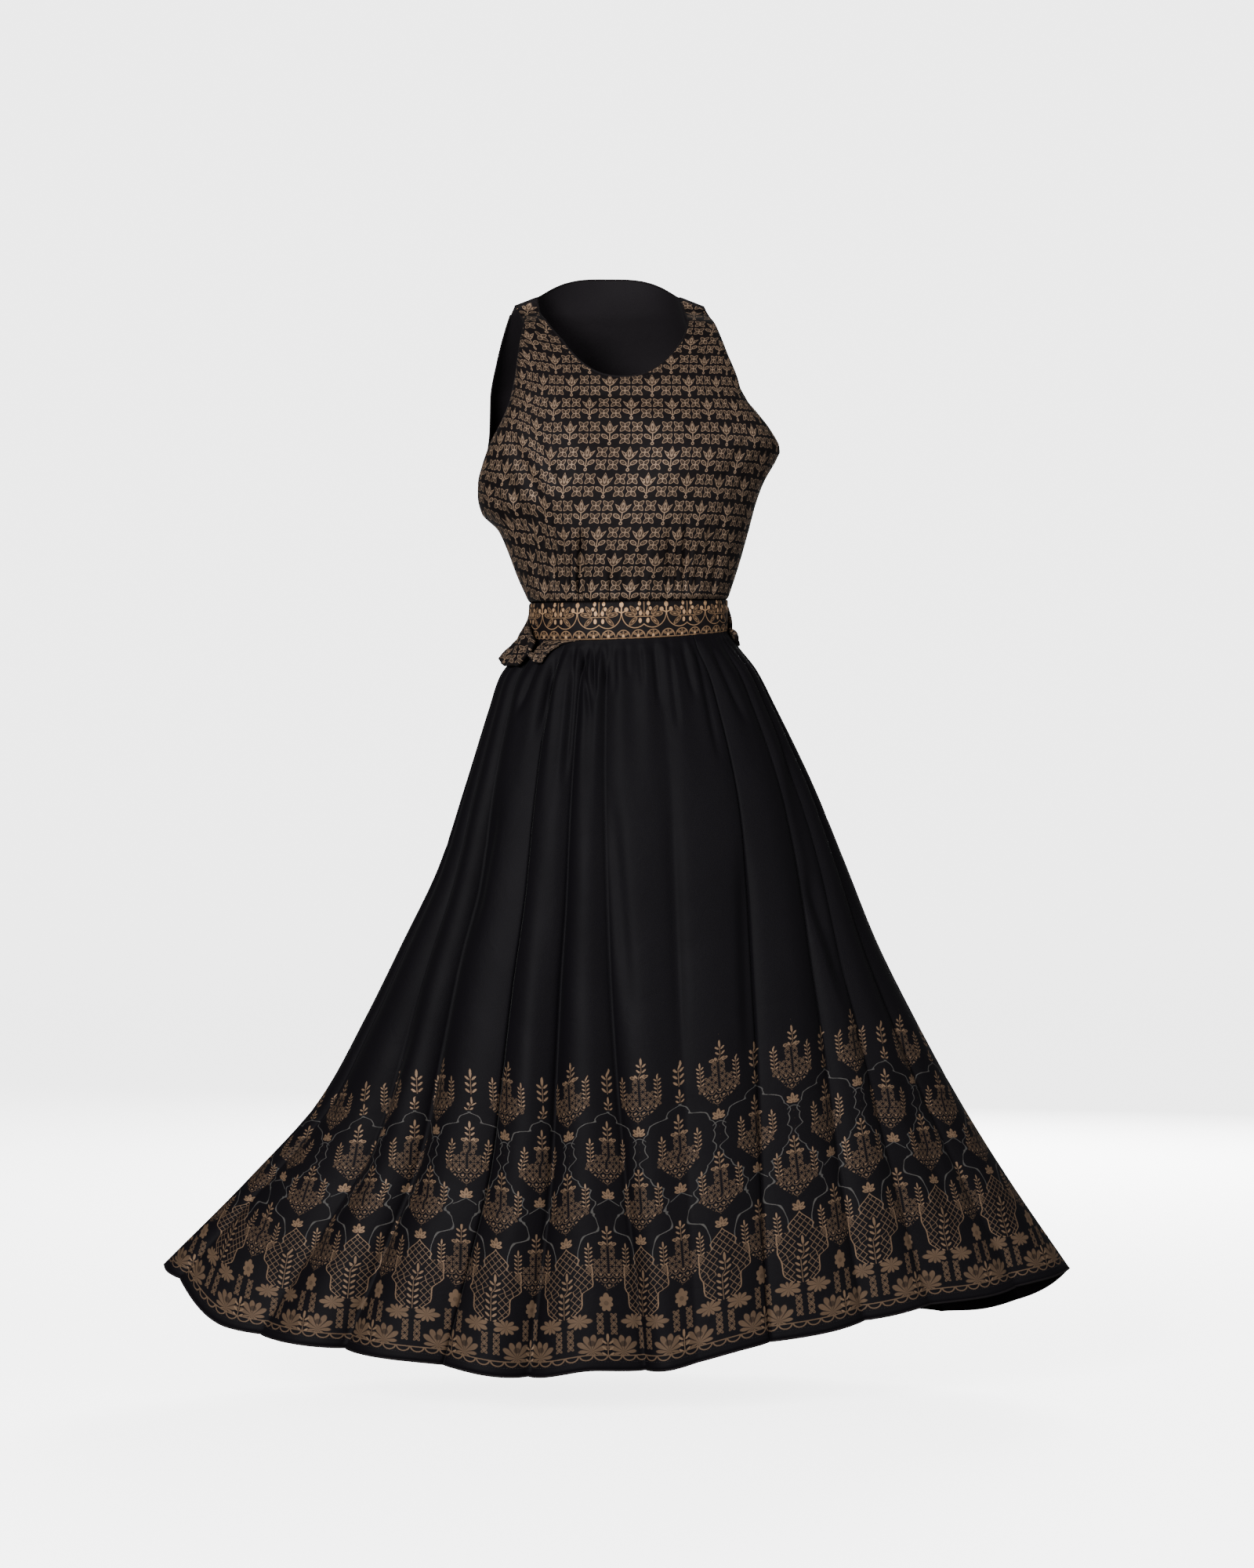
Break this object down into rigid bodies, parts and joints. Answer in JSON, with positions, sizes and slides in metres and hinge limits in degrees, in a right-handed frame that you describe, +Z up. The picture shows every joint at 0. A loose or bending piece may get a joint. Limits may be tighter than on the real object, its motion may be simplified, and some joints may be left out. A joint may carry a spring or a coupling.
{
  "type": "fit-and-flare dress",
  "caption": "Sleeveless fit-and-flare dress with a scoop neck, gathered bodice, printed waistband with side ties, and a wide gored skirt with a printed border.",
  "frame": {"origin": "between the two shoulder straps at shoulder height, over the middle of the waistband, where the dress is held up", "axes": "+Z up, front of the dress towards -Y, +X to the right as the front is looked at"},
  "size_m": [1.0408, 0.4202, 1.2376],
  "materials": {
    "printed_cloth": "woven, metallic gold print",
    "band_cloth": "woven, metallic gold border print",
    "skirt_cloth": "soft satin woven"
  },
  "bodies": {
    "root": {"bodice_front": "printed_cloth", "bodice_back": "printed_cloth", "waistband_front": "band_cloth", "waistband_back": "band_cloth", "skirt_front_left": "skirt_cloth", "skirt_front_centre": "skirt_cloth", "skirt_front_right": "skirt_cloth", "skirt_back_right": "skirt_cloth", "skirt_back_centre": "skirt_cloth", "skirt_back_left": "skirt_cloth", "tie_left_outer": "band_cloth", "tie_left_inner": "band_cloth", "tie_right": "band_cloth"}
  },
  "joints": []
}
